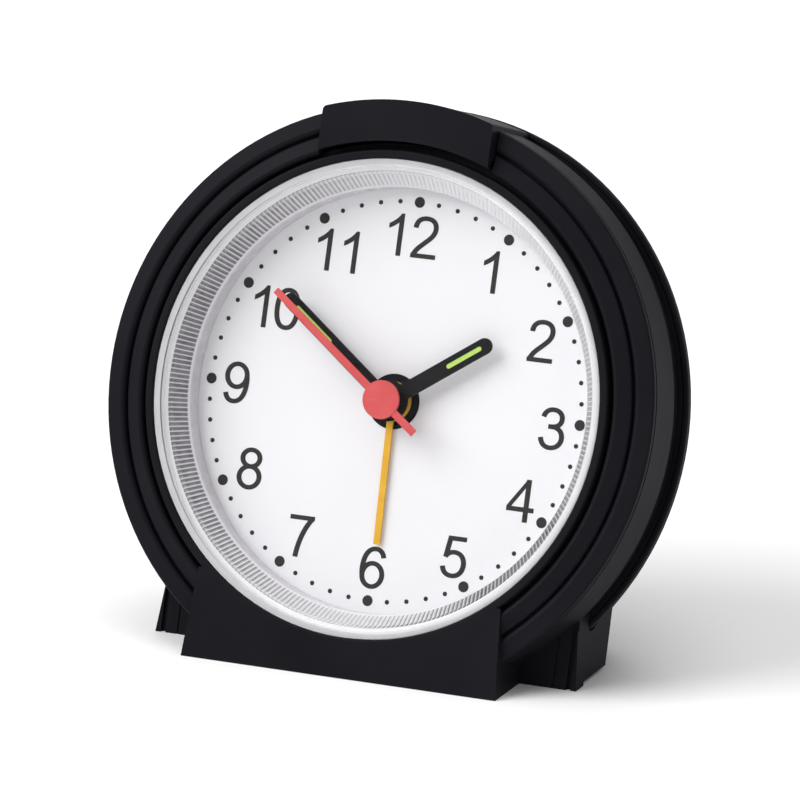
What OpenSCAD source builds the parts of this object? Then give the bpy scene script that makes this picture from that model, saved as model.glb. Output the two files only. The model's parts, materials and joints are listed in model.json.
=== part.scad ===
// Bedside quartz alarm clock: round case on a broad foot, leaning back, with a snooze bar on top.
// Every piece is drawn in the dial frame: x to the right, y up the dial and z out of the dial,
// with its origin at the centre of the dial's face. clock_frame() then leans it back onto the foot.

/* [Stance] */
// Angle that the dial leans back
lean = 16.5; // [14:0.5:18]
// Height of the dial's centre above the table
dial_z = 39.06; // [38.8:0.02:39.4]
// Place of the dial's centre in front of the origin
dial_y = -6.77; // [-9:0.01:-6]

/* [Case] */
// Radius of the case's front ring
ring_r = 45.35; // [45:0.05:45.6]
// Radius of the rear case's rim
rim_r = 46.1; // [45.9:0.1:46.4]
// Inner radius of the raised lip round the lens
lip_inner_r = 37.0; // [36.95:0.05:37.1]
// Outer radius of the lip
lip_outer_r = 38.3; // [38.2:0.05:38.35]
// Height of the lip and of the foot's front above the dial
lip_w = 8.4; // [8.3:0.05:8.5]
// Distance from the dial's face to the clock's back
back_w = 24.0; // [23.6:0.1:24.6]
// Thickness of the case's walls
wall = 1.8; // [1.5:0.1:2]

/* [Foot] */
// Half width of the front foot at the table
foot_half = 26.4; // [26.2:0.1:26.6]
// Half width of the front foot where it meets the lip
foot_top_half = 25.3; // [25.1:0.1:25.5]
// Half width over the set-back side feet at the table
side_half = 35.6; // [35.4:0.1:35.8]
// Half width over the side feet where they meet the ring
side_top_half = 34.1; // [33.9:0.1:34.3]
// Half width of the battery box behind the foot
box_half = 29.8; // [29.6:0.1:29.9]

/* [Snooze bar] */
// Half width of the snooze bar
bar_half = 14.2; // [13.5:0.1:14.5]
// Height of the snooze bar's front face above the dial
bar_w = 9.4; // [9.3:0.1:9.6]
// How far the snooze bar is pressed
bar_travel = 1.0; // [0.8:0.1:1]

/* [Dial and hands] */
// Radius of the dial plate
dial_r = 34.0; // [33.8:0.1:34.2]
// Hour hand's angle, clockwise from twelve
hour_angle = 55.3; // [0:0.1:360]
// Minute hand's angle, clockwise from twelve
minute_angle = 306.7; // [0:0.1:360]
// Second hand's angle, clockwise from twelve
second_angle = 306.6; // [0:0.1:360]
// Alarm hand's angle, clockwise from twelve
alarm_angle = 178.7; // [0:0.1:360]
// Length of the hour hand
hour_len = 19.1; // [17:0.1:21]
// Length of the minute hand
minute_len = 23.7; // [22:0.1:25]
// Length of the second hand
second_len = 24.7; // [23:0.1:26]
// Length of the alarm hand
alarm_len = 22.2; // [20:0.1:24]

/* [Battery] */
// Radius of the battery cell
cell_r = 7.1; // [7:0.05:7.1]
// Length of the battery cell with its nub
cell_len = 50.5; // [49.5:0.1:50.5]

/* [Hidden] */
$fn = 96;

room = 120;
gap = 0.3;
slip = 0.05;
seam = 0.1;

// Depths behind the dial's face, front to back: each is [front, back].
dial_d = [0, 0.6];
front_plate_d = [0.8, 2.0];
alarm_d = [2.4, 3.4];
hour_d = [3.8, 4.8];
minute_d = [5.2, 6.6];
centre_d = [7.0, 8.0];
third_d = [8.6, 9.6];
middle_plate_d = [9.9, 10.7];
seconds_d = [11.0, 11.9];
drive_d = [12.3, 13.1];
magnet_d = [13.5, 15.3];
stator_d = [13.9, 14.9];
core_d = [14.9, 15.9];
rear_plate_d = [16.0, 17.0];
board_d = [18.4, 19.6];

// Split between the front and rear cases
split_d = 6.0;
collar_r = 4.3;
collar_inner_r = 2.75;
alarm_pipe_r = 2.7;
hour_pipe_r = 2.0;
minute_pipe_r = 1.3;
arbor_r = 0.5;
stem_r = 1.0;

// Heights of the hands above the dial: each is [back, front].
alarm_w = [0.4, 0.7];
hour_w = [2.0, 2.4];
minute_w = [2.65, 3.05];
second_w = [4.9, 5.4];
arbor_top_w = 5.2;

// Wheel work: tooth counts and modules.
alarm_teeth = 40;
alarm_pinion_teeth = 12;
alarm_m = 0.45;
cannon_teeth = 12;
minute_teeth = 36;
minute_m = 0.4583333;
hour_teeth = 40;
hour_pinion_teeth = 10;
hour_m = 0.44;
centre_teeth = 64;
third_pinion_teeth = 8;
centre_m = 0.3;
third_teeth = 60;
seconds_pinion_teeth = 8;
third_m = (centre_teeth + third_pinion_teeth) * centre_m / (third_teeth + seconds_pinion_teeth);
seconds_teeth = 40;
drive_pinion_teeth = 8;
seconds_m = 0.3;
drive_teeth = 48;
rotor_teeth = 8;
rotor_m = 0.26;

// Directions from one arbor to the next, counter-clockwise from the right as seen from the front.
minute_dir = 155;
third_dir = 90;
alarm_dir = 0;
drive_dir = 215;
rotor_dir = 200;

function polar(r, a) = [r * cos(a), r * sin(a)];
function spacing(n1, n2, m) = (n1 + n2) * m / 2;
minute_at = polar(spacing(cannon_teeth, minute_teeth, minute_m), minute_dir);
time_at = 2 * minute_at;
third_at = polar(spacing(centre_teeth, third_pinion_teeth, centre_m), third_dir);
alarm_at = polar(spacing(alarm_teeth, alarm_pinion_teeth, alarm_m), alarm_dir);
drive_at = polar(spacing(seconds_teeth, drive_pinion_teeth, seconds_m), drive_dir);
rotor_at = drive_at + polar(spacing(drive_teeth, rotor_teeth, rotor_m), rotor_dir);

// Posts between the movement's plates
post_r = 1.5;
posts = [[-13, 19.5], [13, 19.5], [13, -12.5], [-4, -13.5], [-25.5, 14]];

// Case screws: radius of their circle, and angles clockwise from twelve
screw_ring = 35.0;
screw_angles = [40, -40, 115, -115];
boss_r = 2.6;
boss_d = [0.9, 12.0];
tube_r = 3.9;
well_r = 2.7;
well_floor_d = [12.2, 14.2];

cell_v = -24;
cell_d = 13.6;
box_inner = box_half - wall;
door_v = [-31.9, -16.1];
door_half = 27.4;
door_d = back_w - 1.4;

buzzer_at = [26, 10];
slider_v = 26;
slider_travel = 4;
lamp_at = [-6, 34.7];
coil_u = -22.5;
coil_v = [-12.6, 2.2];
coil_r = 2.6;
coil_d = (core_d[0] + core_d[1]) / 2;

// ---------- shared shapes ----------

module clock_frame() {
    translate([0, dial_y, dial_z])
        rotate([90 - lean, 0, 0])
            children();
}

// Children in the dial frame, cut off at a height above the table
module above(height) {
    intersection() {
        clock_frame()
            children();
        translate([-room, -room, height])
            cube(2 * room);
    }
}

// Extrusion between two depths behind the dial's face
module slab(d) {
    translate([0, 0, -d[1]])
        linear_extrude(d[1] - d[0])
            children();
}

module disc(d, r, at = [0, 0]) {
    translate([at[0], at[1], -d[1]])
        cylinder(h = d[1] - d[0], r = r);
}

// Flat block given by its u range, v range and depth range
module block(u, v, d) {
    translate([u[0], v[0], -d[1]])
        cube([u[1] - u[0], v[1] - v[0], d[1] - d[0]]);
}

// Turn a hand's outline, drawn pointing up, to its angle clockwise from twelve
module pointing(angle) {
    rotate([0, 0, -angle])
        children();
}

function arc(centre, r, from, to, steps) =
    [for (i = [0:steps]) centre + polar(r, from + (to - from) * i / steps)];

// Corner points of a toothed outline with one tooth centred on the angle tooth_at
flank = [[-0.2, -0.85], [-0.08, 0.62], [0.08, 0.62], [0.2, -0.85]];
function toothed(n, m, tooth_at) = [
    for (i = [0:n - 1])
        for (corner = flank)
            polar(n * m / 2 + m * corner[1], tooth_at + (i + corner[0]) * 360 / n)
];

module gear(n, m, d, tooth_at, at = [0, 0]) {
    translate([at[0], at[1], 0])
        slab(d)
            polygon(toothed(n, m, tooth_at));
}

// Angle for a gear whose tooth gap faces the given direction
function gap_at(n, direction) = direction + 180 / n;

module at_screws() {
    for (a = screw_angles)
        rotate([0, 0, -a])
            translate([0, screw_ring, 0])
                children();
}

// ---------- case ----------

// Crowned bead of the stepped ring, from its inner radius to its outer radius
bead_inner_round = 0.7;
bead_outer_round = 0.5;
bead_slope = 14;
function bead(inner, outer, top, drop) = concat(
    arc([inner + bead_inner_round, top - bead_inner_round], bead_inner_round, 180, 90, 4),
    arc([outer - bead_outer_round, top - drop - bead_outer_round], bead_outer_round, 90 - bead_slope, 0, 4)
);

// Two beads of the ring: radii, height of the crown, and how much lower the outer corner is
inner_bead_r = [39.0, 41.85];
inner_bead_w = 8.1;
inner_bead_drop = 0.75;
outer_bead_r = [42.3, ring_r];
outer_bead_w = 7.45;
outer_bead_drop = 0.35;
bead_step_w = 6.2;
bead_gap = 0.05;

lip_round = 0.3;
lip_overlap = 0.5;
groove_w = 6.0;
groove_r = [lip_outer_r + bead_gap, inner_bead_r[0] - bead_gap];
side_groove_depth = 0.3;
side_groove_slope = 0.1;
lens_seat_w = 2.3;
collar_wall = [38.8, 40.3];
neck_r = 44.4;
neck_d = 1.9;
side_groove_w = [5.65, 6.05];
shell_top_w = 4.4;
shell_inner_r = 42.9;
ring_outline = concat(
    [[lip_inner_r, lens_seat_w]],
    arc([lip_inner_r + lip_round, lip_w - lip_round], lip_round, 180, 90, 3),
    arc([lip_outer_r - lip_round, lip_w - lip_round], lip_round, 90, 0, 3),
    [[groove_r[0], groove_w], [groove_r[1], groove_w]],
    bead(inner_bead_r[0], inner_bead_r[1], inner_bead_w, inner_bead_drop),
    [[inner_bead_r[1], bead_step_w], [outer_bead_r[0] - bead_gap, bead_step_w]],
    bead(outer_bead_r[0], outer_bead_r[1], outer_bead_w, outer_bead_drop),
    [[ring_r, side_groove_w[1]], [ring_r - side_groove_depth, side_groove_w[1] - side_groove_slope]],
    [[ring_r - side_groove_depth, side_groove_w[0] + side_groove_slope], [ring_r, side_groove_w[0]]],
    [[ring_r, -neck_d], [neck_r, -neck_d], [neck_r, -split_d + seam]],
    [[shell_inner_r, -split_d + seam], [shell_inner_r, shell_top_w], [collar_wall[1], shell_top_w]],
    [[collar_wall[1], -split_d + seam], [collar_wall[0], -split_d + seam], [collar_wall[0], lens_seat_w]]
);

function mirrored(points) = concat(
    points,
    [for (i = [len(points) - 1:-1:0]) [-points[i][0], points[i][1]]]
);

foot_top_v = -29.2;
foot_low_v = -43.8;
function foot_outline(inset) = mirrored([
    [foot_top_half - inset, foot_top_v],
    [foot_half - inset, foot_low_v]
]);

// Side feet: front depth, back depth, and how far their panels stay above the table
side_d = [1.3, 16.4];
side_inner = foot_top_half - 1;
side_overlap = 0.2;
// Back edge of the side panel: where it starts, and its lean towards the front lower down
side_back_at = [-27, 15.9];
side_back_lean = 0.24;
side_back_at_front = [side_back_at[0], -side_back_at[1]];
side_wall = 1.6;
side_hollow_u = box_half + gap;
pad_depth = 3.2;
panel_lift = 0.6;
side_low_v = -41.5;
side_top_v = -26;

function side_line(inset) = [
    [side_top_half - inset, side_top_v],
    [side_half - inset, side_low_v]
];

module side_foot() {
    difference() {
        slab(side_d)
            polygon(concat(side_line(0), [[side_inner, side_low_v], [side_inner, side_top_v]]));
        // Room for the ring, its neck and the rear case
        disc([0, neck_d + 0.01], ring_r - side_overlap);
        disc([neck_d, split_d], neck_r - side_overlap);
        disc([split_d - seam, rim_back_d], rim_r + gap);
        translate([0, 0, -rear_bend_d])
            cylinder(h = rear_bend_d - rim_back_d + 0.01, r1 = taper_r + gap, r2 = rim_r + gap);
        // Back edge, which leans with the rear case
        rotate([90, 0, 90])
            linear_extrude(2 * side_half)
                polygon([
                    [side_back_at[0] + 10, -side_back_at[1]],
                    side_back_at_front,
                    side_back_at_front + 20 * [-1, side_back_lean],
                    [side_back_at[0] - 20, -room],
                    [side_back_at[0] + 10, -room]
                ]);
        // Hollow behind the front pad, open to the back
        intersection() {
            slab([side_d[0] + side_wall, side_d[1] + 1])
                polygon(concat(
                    side_line(side_wall),
                    [[side_hollow_u, side_low_v], [side_hollow_u, side_top_v]]
                ));
            disc([0, room], room);
        }
        // Room for the battery box
        block([0, side_hollow_u], [side_low_v - 1, -20], [split_d - seam, side_d[1] + 1]);
        side_grooves();
    }
}

// Upright grooves on the side foot: wide and fine ones in front, and one round the corner
wide_groove_u = [33.8, 34.6];
wide_groove_depth = 0.55;
fine_groove_u = [31.6, 31.85];
fine_groove_depth = 0.2;
corner_groove_u = side_top_half + 7.03;
corner_groove_d = [side_d[0] + 0.9, side_d[0] + 1.5];
side_splay = atan((side_half - side_top_half) / (side_top_v - side_low_v));
module side_grooves() {
    block(wide_groove_u, [side_low_v, side_top_v - 1], [0, side_d[0] + wide_groove_depth]);
    block(fine_groove_u, [side_low_v, side_top_v - 1], [0, side_d[0] + fine_groove_depth]);
    rotate([0, 0, side_splay])
        block([corner_groove_u, corner_groove_u + 1.4], [-44, -20], corner_groove_d);
}

module both_sides() {
    children();
    mirror([1, 0, 0])
        children();
}

bar_pocket_half = bar_half + gap;
pocket_r = 39.45;
arm_slot_d = 2.5;

module front_case() {
    color([0.12, 0.12, 0.14])
        union() {
            difference() {
                above(0) {
                    rotate_extrude()
                        polygon(ring_outline);
                    slab([-lip_w, split_d - seam])
                        difference() {
                            polygon(foot_outline(0));
                            circle(r = collar_wall[0]);
                        }
                    slab([-lip_w, -lip_w + wall])
                        difference() {
                            polygon(foot_outline(0));
                            circle(r = lip_outer_r - lip_overlap);
                        }
                    both_sides()
                        side_foot();
                }
                // Hollow of the foot, open to the back
                above(wall)
                    slab([-lip_w + wall, split_d + 1])
                        difference() {
                            polygon(foot_outline(wall));
                            circle(r = collar_wall[1]);
                        }
                // Side panels stay clear of the table behind their front pads
                intersection() {
                    clock_frame()
                        both_sides()
                            block([30, 40], [-45, -20], [side_d[0] + pad_depth, side_d[1] + 1]);
                    translate([-room, -room, -1])
                        cube([2 * room, 2 * room, 1 + panel_lift]);
                }
                // Pocket for the snooze bar
                clock_frame()
                    difference() {
                        block([-bar_pocket_half, bar_pocket_half], [30, 50], [-lip_w - 1, split_d + 1]);
                        disc([-lip_w - 1, split_d + 1], pocket_r);
                    }
                clock_frame()
                    difference() {
                        block([-bar_pocket_half, bar_pocket_half], [30, 50], [-lip_w - 1, -groove_w]);
                        disc([-lip_w - 1, 0], groove_r[1]);
                    }
                // Slot for the snooze bar's arm
                clock_frame()
                    block([-arm_half - gap, arm_half + gap], [30, 50], [arm_slot_d, split_d + 1]);
            }
            clock_frame()
                at_screws()
                    screw_boss();
        }
}

case_screw_r = 1.15;
boss_rib_half = 1;
boss_rib_reach = 4.7;
screw_hole_len = 9;
module screw_boss() {
    difference() {
        union() {
            disc(boss_d, boss_r);
            block([-boss_rib_half, boss_rib_half], [1, boss_rib_reach], [boss_d[0], split_d - seam]);
        }
        disc([boss_d[1] - screw_hole_len, boss_d[1] + 1], case_screw_r);
    }
}

// Clear dome with a skirt and flange that is trapped behind the lip
lens_r = 36.9;
lens_edge_w = 8.1;
lens_crown = 9.3;
lens_thick = 1.1;
skirt_inner_r = 36.2;
flange_r = 38.5;
flange_w = [1.0, 2.2];
lens_steps = 12;
function dome(top, edge, r, i) = [r * i / lens_steps, top - (top - edge) * pow(i / lens_steps, 2)];

module lens() {
    color([0.85, 0.9, 0.95, 0.3])
        clock_frame()
            rotate_extrude()
                polygon(concat(
                    [for (i = [0:lens_steps]) dome(lens_crown, lens_edge_w, lens_r, i)],
                    [[lens_r, flange_w[1]], [flange_r, flange_w[1]]],
                    [[flange_r, flange_w[0]], [skirt_inner_r, flange_w[0]]],
                    [for (i = [lens_steps:-1:0])
                        dome(lens_crown - lens_thick, lens_edge_w - lens_thick, skirt_inner_r, i)]
                ));
}

// Ring round the dial: a low wall, a cone that opens to the front, and a narrow flange
ring_inner_r = 32.9;
ring_wall_w = 2.9;
cone_r = [33.2, 35.2];
cone_w = [3.5, 6.5];
ring_outer_r = 36.05;
dial_clearance = 0.1;
module light_ring() {
    color([0.82, 0.82, 0.84])
        clock_frame()
            rotate_extrude()
                polygon([
                    [ring_inner_r, 0], [ring_inner_r, ring_wall_w],
                    [cone_r[0], cone_w[0]], [cone_r[1], cone_w[1]], [ring_outer_r, cone_w[1]],
                    [ring_outer_r, 0.05], [dial_r + dial_clearance, 0.05], [dial_r + dial_clearance, 0]
                ]);
}

module dial() {
    color("white")
        clock_frame()
            slab(dial_d)
                difference() {
                    circle(r = dial_r);
                    circle(r = collar_r);
                }
}

module centre_collar() {
    color([0.1, 0.1, 0.1])
        clock_frame()
            slab([-0.1, front_plate_d[1]])
                difference() {
                    circle(r = collar_r);
                    circle(r = collar_inner_r);
                }
}

// Round part of the rear case: outline of the outside, and of the room inside
rear_bend_d = 21.5;
rim_back_d = 7.4;
rim_seam = [45.15, 45.4];
taper_r = 40.6;
back_r = 38.6;
back_edge_round = 2.4;
shell_r = 44.3;
shelf_r = 45;
seam_depth = 0.5;
tongue = [41.3, 42.6];
tongue_d = 3.8;
tongue_low_v = -24;
shelf_d = 8.4;

module rear_case() {
    color([0.13, 0.13, 0.15])
        difference() {
            union() {
                above(0)
                    rear_outer();
                clock_frame()
                    rear_tongue();
            }
            difference() {
                above(wall)
                    rear_inner();
                clock_frame() {
                    rear_tongue();
                    at_screws()
                        disc([well_floor_d[0], back_w - 1], tube_r);
                }
            }
            clock_frame()
                rear_openings();
        }
}

// Ring that fits into the front case's channel, and the shelf that joins it to the rim
module rear_tongue() {
    difference() {
        union() {
            disc([tongue_d, split_d + 1], tongue[1]);
            disc([split_d + seam, shelf_d], shelf_r);
        }
        disc([tongue_d - 1, back_w], tongue[0]);
        block([-bar_pocket_half, bar_pocket_half], [30, 50], [tongue_d - 1, split_d]);
        block([-box_inner, box_inner], [-50, -20], [tongue_d - 1, back_w]);
        block([-50, 50], [-50, tongue_low_v], [tongue_d - 1, split_d + seam]);
    }
}

module rear_outer() {
    rotate_extrude()
        polygon(concat(
            [[0, -split_d - seam], [rim_seam[0], -split_d - seam], [rim_seam[0], -split_d - seam_depth]],
            [[rim_seam[1], -split_d - seam_depth], [rim_seam[1], -split_d - seam]],
            [[rim_r - 0.25, -split_d - seam], [rim_r, -split_d - 0.35], [rim_r, -rim_back_d]],
            arc([taper_r - back_edge_round, -rear_bend_d], back_edge_round, 15, -90, 6),
            [[0, -back_w + 0.1]]
        ));
    block([-box_half, box_half], [-45, -12], [split_d + seam, back_w - 0.1]);
}

module rear_inner() {
    rotate_extrude()
        polygon([
            [0, 0], [shell_r, 0], [shell_r, -shelf_d], [taper_r - wall, -rear_bend_d + 0.6],
            [back_r - wall, -back_w + wall], [0, -back_w + wall]
        ]);
    block([-box_inner, box_inner], [-45, -12], [0, back_w - wall]);
}

knob_hole_r = 2.6;
screw_clear_r = 1.5;
slot_half = [5.2, 1.7];
sound_hole_r = 1.0;
sound_ring_r = 4.2;
door_step = 0.7;
door_gap = 0.2;
module rear_openings() {
    at_screws() {
        disc([well_floor_d[0] - 1, back_w + 1], screw_clear_r);
        disc([well_floor_d[1], back_w + 1], well_r);
    }
    disc([20, back_w + 1], knob_hole_r, time_at);
    disc([20, back_w + 1], knob_hole_r, alarm_at);
    // Slot for the alarm slider
    translate([0, slider_v, 0])
        block([-slot_half[0], slot_half[0]], [-slot_half[1], slot_half[1]], [20, back_w + 1]);
    // Sound holes
    disc([20, back_w + 1], sound_hole_r, buzzer_at);
    for (a = [0:60:300])
        disc([20, back_w + 1], sound_hole_r, buzzer_at + polar(sound_ring_r, a));
    // Battery opening, with a step for the door
    block([-door_half + door_step, door_half - door_step], [door_v[0] + door_step, door_v[1] - door_step],
        [20, back_w + 1]);
    block([-door_half - door_gap, door_half + door_gap], [door_v[0] - door_gap, door_v[1] + door_gap],
        [door_d - 0.1, back_w + 1]);
}

// Ribs that hold the cell, and grooves for a finger
door_ribs_u = [-16, 15];
door_rib_half_v = 4;
door_rib_d = 21.2;
grip_pitch = 1.2;
grip_half = 5;
module battery_door() {
    color([0.14, 0.14, 0.16])
        clock_frame()
            difference() {
                union() {
                    block([-door_half, door_half], door_v, [door_d, back_w - 0.1]);
                    for (u = door_ribs_u)
                        translate([u, cell_v, 0])
                            block([0, 1], [-door_rib_half_v, door_rib_half_v], [door_rib_d, door_d]);
                }
                for (i = [0:3])
                    translate([0, door_v[1] - i * grip_pitch, 0])
                        block([-grip_half, grip_half], [-2.2, -1.6], [back_w - 0.6, back_w]);
            }
}

// ---------- snooze bar ----------

bar_inner_r = 39.6;
bar_outer_r = 45.95;
bar_corner = 0.8;
bar_back_d = split_d - 0.2;
bar_skin = 1.2;
arm_v = [36.0, 38.4];
arm_half = 2;
arm_d = [3.0, 17.2];

// Centre height of a corner's rounding, and the angle at which it meets the outer arc
function corner_v(half, outer) = sqrt(pow(outer - bar_corner, 2) - pow(half - bar_corner, 2));
function corner_angle(half, outer) = atan2(corner_v(half, outer), half - bar_corner);

module bar_outline(half, inner, outer) {
    intersection() {
        difference() {
            circle(r = outer);
            circle(r = inner);
        }
        polygon(mirrored(concat(
            [[half, 20]],
            arc([half - bar_corner, corner_v(half, outer)], bar_corner, 0, corner_angle(half, outer), 4),
            [[0, outer + 5]]
        )));
    }
}

module snooze_button() {
    color([0.12, 0.12, 0.14])
        clock_frame() {
            difference() {
                slab([-bar_w, bar_back_d])
                    bar_outline(bar_half, bar_inner_r, bar_outer_r);
                // Hollow inside, open towards the middle of the clock
                slab([-bar_w + bar_skin, bar_back_d - bar_skin])
                    bar_outline(bar_half - bar_skin, 30, bar_outer_r - bar_skin);
                // Room over the case when the bar is down
                disc([-bar_w + bar_skin, bar_back_d + 1], pocket_r + bar_travel + gap);
            }
            // Arm that reaches back to the switch
            block([-arm_half, arm_half], [arm_v[0], bar_outer_r - bar_skin - 0.95], [arm_d[0], bar_back_d]);
            block([-arm_half, arm_half], arm_v, arm_d);
        }
}

switch_half = 3;
switch_v = [30.2, 33.6];
switch_d = [14.6, board_d[0]];
plunger_top_v = 34.9;
plunger_d = 16.3;
plunger_r = 0.9;
module snooze_switch() {
    color([0.75, 0.75, 0.77])
        clock_frame() {
            block([-switch_half, switch_half], switch_v, switch_d);
            translate([0, switch_v[1], -plunger_d])
                rotate([-90, 0, 0])
                    cylinder(h = plunger_top_v - switch_v[1], r = plunger_r);
        }
}

// ---------- controls on the back ----------

knob_d = [back_w + 0.5, back_w + 3.8];
knob_neck_r = 2.2;
knob_neck_d = 22.4;
knob_rim = 2.2;
knob_dish = 0.5;
flutes = 20;
flute_r = 0.42;
stem_end_d = 26.5;
module knob(at, r) {
    translate([at[0], at[1], 0])
        difference() {
            union() {
                disc(knob_d, r);
                disc([knob_neck_d, knob_d[0]], knob_neck_r);
            }
            disc([20, stem_end_d], stem_r);
            for (i = [0:flutes - 1])
                disc([knob_d[0] - 1, knob_d[1] + 1], flute_r, polar(r + 0.12, i * 360 / flutes));
            disc([knob_d[1] - knob_dish, knob_d[1] + 1], r - knob_rim);
        }
}

time_knob_r = 6.8;
alarm_knob_r = 5.6;
module time_knob() {
    color([0.15, 0.15, 0.17])
        clock_frame()
            knob(time_at, time_knob_r);
}

module alarm_knob() {
    color([0.15, 0.15, 0.17])
        clock_frame()
            knob(alarm_at, alarm_knob_r);
}

stem_pivot_r = 0.6;
module stem(at, n, m, d, tooth_at) {
    gear(n, m, d, tooth_at, at);
    disc([front_plate_d[0] + 0.2, d[0]], stem_pivot_r, at);
    disc([d[0], stem_end_d], stem_r, at);
}

module time_stem() {
    color([0.85, 0.85, 0.82])
        clock_frame()
            stem(time_at, cannon_teeth, minute_m, minute_d, gap_at(cannon_teeth, minute_dir + 180));
}

module alarm_stem() {
    color([0.85, 0.85, 0.82])
        clock_frame()
            stem(alarm_at, alarm_pinion_teeth, alarm_m, alarm_d, gap_at(alarm_pinion_teeth, alarm_dir + 180));
}

// Thumb slider in the back's slot, shown at the off end of its travel
slider_half = [2.8, 1.5];
slider_v_range = [-slider_half[1], slider_half[1]];
slider_rib_half = 0.3;
module alarm_slider() {
    color([0.2, 0.2, 0.22])
        clock_frame()
            translate([-slider_travel / 2, slider_v, 0]) {
                block([-slider_half[0], slider_half[0]], slider_v_range, [21.9, back_w + 0.2]);
                for (i = [-2:2])
                    translate([i, 0, 0])
                        block([-slider_rib_half, slider_rib_half], slider_v_range,
                            [back_w + 0.1, back_w + 0.8]);
                block([-0.6, 0.6], [-0.8, 0.8], [20.6, 22]);
            }
}

module slide_switch() {
    color([0.75, 0.75, 0.77])
        clock_frame()
            difference() {
                block([-5.5, 5.5], [slider_v - 2.2, slider_v + 2.2], [board_d[1], 21.4]);
                block([-4, 4], [slider_v - 1.2, slider_v + 1.2], [20.3, 22]);
            }
}

case_head_r = 2.3;
case_head_len = 1.6;
cross_half = [1.6, 0.25];
cross_d = [well_floor_d[1] + 0.9, well_floor_d[1] + 2];
case_screw_tip_d = 4.2;
module case_screws() {
    color("silver")
        clock_frame()
            at_screws() {
                difference() {
                    disc([well_floor_d[1], well_floor_d[1] + case_head_len], case_head_r);
                    block([-cross_half[0], cross_half[0]], [-cross_half[1], cross_half[1]], cross_d);
                    block([-cross_half[1], cross_half[1]], [-cross_half[0], cross_half[0]], cross_d);
                }
                disc([case_screw_tip_d, well_floor_d[1]], case_screw_r);
            }
}

small_head_r = 1.5;
small_head_len = 0.9;
small_screw_r = 0.7;
small_screw_tip_d = 12;
module movement_screws() {
    color("silver")
        clock_frame()
            for (at = posts) {
                difference() {
                    disc([rear_plate_d[1], rear_plate_d[1] + small_head_len], small_head_r, at);
                    block([at[0] - 1, at[0] + 1], [at[1] - 0.2, at[1] + 0.2], [rear_plate_d[1] + 0.5, 19]);
                }
                disc([small_screw_tip_d, rear_plate_d[1]], small_screw_r, at);
            }
}

// ---------- hands ----------

// Straight blade with a round tip
module blade(half, from, to) {
    translate([-half, from])
        square([2 * half, to - half - from]);
    translate([0, to - half])
        circle(r = half);
}

module plate_between(w) {
    translate([0, 0, w[0]])
        linear_extrude(w[1] - w[0])
            children();
}

lume_depth = 0.15;
hour_half = 1.25;
minute_half = 1.2;
hour_lume_v = [10.9, 17.3];
minute_lume_v = [13.0, 21.2];
hour_lume_half = 0.36;
minute_lume_half = 0.36;
hour_hub_r = 3.2;
minute_hub_r = 2.6;

module lume_shape(half, v) {
    translate([-half, v[0] + half])
        square([2 * half, v[1] - v[0] - 2 * half]);
    translate([0, v[0] + half])
        circle(r = half);
    translate([0, v[1] - half])
        circle(r = half);
}

module hour_hand() {
    color("black")
        clock_frame()
            pointing(hour_angle)
                difference() {
                    plate_between(hour_w)
                        difference() {
                            union() {
                                blade(hour_half, 0, hour_len);
                                circle(r = hour_hub_r);
                            }
                            circle(r = hour_pipe_r);
                        }
                    plate_between([hour_w[1] - lume_depth, hour_w[1] + 1])
                        lume_shape(hour_lume_half, hour_lume_v);
                }
}

module hour_lume() {
    color([0.8, 0.9, 0.4])
        clock_frame()
            pointing(hour_angle)
                plate_between([hour_w[1] - lume_depth, hour_w[1] - 0.02])
                    lume_shape(hour_lume_half, hour_lume_v);
}

module minute_hand() {
    color("black")
        clock_frame()
            pointing(minute_angle)
                difference() {
                    plate_between(minute_w)
                        difference() {
                            union() {
                                blade(minute_half, 0, minute_len);
                                circle(r = minute_hub_r);
                            }
                            circle(r = minute_pipe_r);
                        }
                    plate_between([minute_w[1] - lume_depth, minute_w[1] + 1])
                        lume_shape(minute_lume_half, minute_lume_v);
                }
}

module minute_lume() {
    color([0.8, 0.9, 0.4])
        clock_frame()
            pointing(minute_angle)
                plate_between([minute_w[1] - lume_depth, minute_w[1] - 0.02])
                    lume_shape(minute_lume_half, minute_lume_v);
}

second_half = 0.6;
second_tip_half = 0.52;
second_tail = 7.6;
second_blade_w = [5.0, 5.3];
second_boss_w = 3.5;
second_cap_r = 3.0;
second_boss_r = 1.3;
module second_hand() {
    color([0.85, 0.36, 0.37])
        clock_frame()
            pointing(second_angle)
                difference() {
                    union() {
                        plate_between(second_w)
                            circle(r = second_cap_r);
                        plate_between([second_boss_w, second_w[0]])
                            circle(r = second_boss_r);
                        plate_between(second_blade_w)
                            polygon(mirrored([[second_half, -second_tail], [second_tip_half, second_len]]));
                    }
                    plate_between([second_boss_w - 1, arbor_top_w])
                        circle(r = arbor_r);
                }
}

alarm_half = 0.53;
alarm_hub_r = 3.1;
module alarm_hand() {
    color([0.93, 0.7, 0.24])
        clock_frame()
            pointing(alarm_angle)
                plate_between(alarm_w)
                    difference() {
                        union() {
                            translate([-alarm_half, 0])
                                square([2 * alarm_half, alarm_len]);
                            circle(r = alarm_hub_r);
                        }
                        circle(r = alarm_pipe_r);
                    }
}

// ---------- movement ----------

module ring(d, inner, outer) {
    slab(d)
        difference() {
            circle(r = outer);
            circle(r = inner);
        }
}

// Gear on a pipe that turns round the pipe or arbor inside it
module pipe_gear(n, m, d, tooth_at, inner, outer, top_w) {
    difference() {
        union() {
            gear(n, m, d, tooth_at);
            disc([-top_w, d[1]], outer);
        }
        disc([-room, room], inner);
    }
}

module alarm_wheel() {
    color("gold")
        clock_frame()
            pipe_gear(alarm_teeth, alarm_m, alarm_d, alarm_dir, hour_pipe_r + slip, alarm_pipe_r, alarm_w[1]);
}

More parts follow.
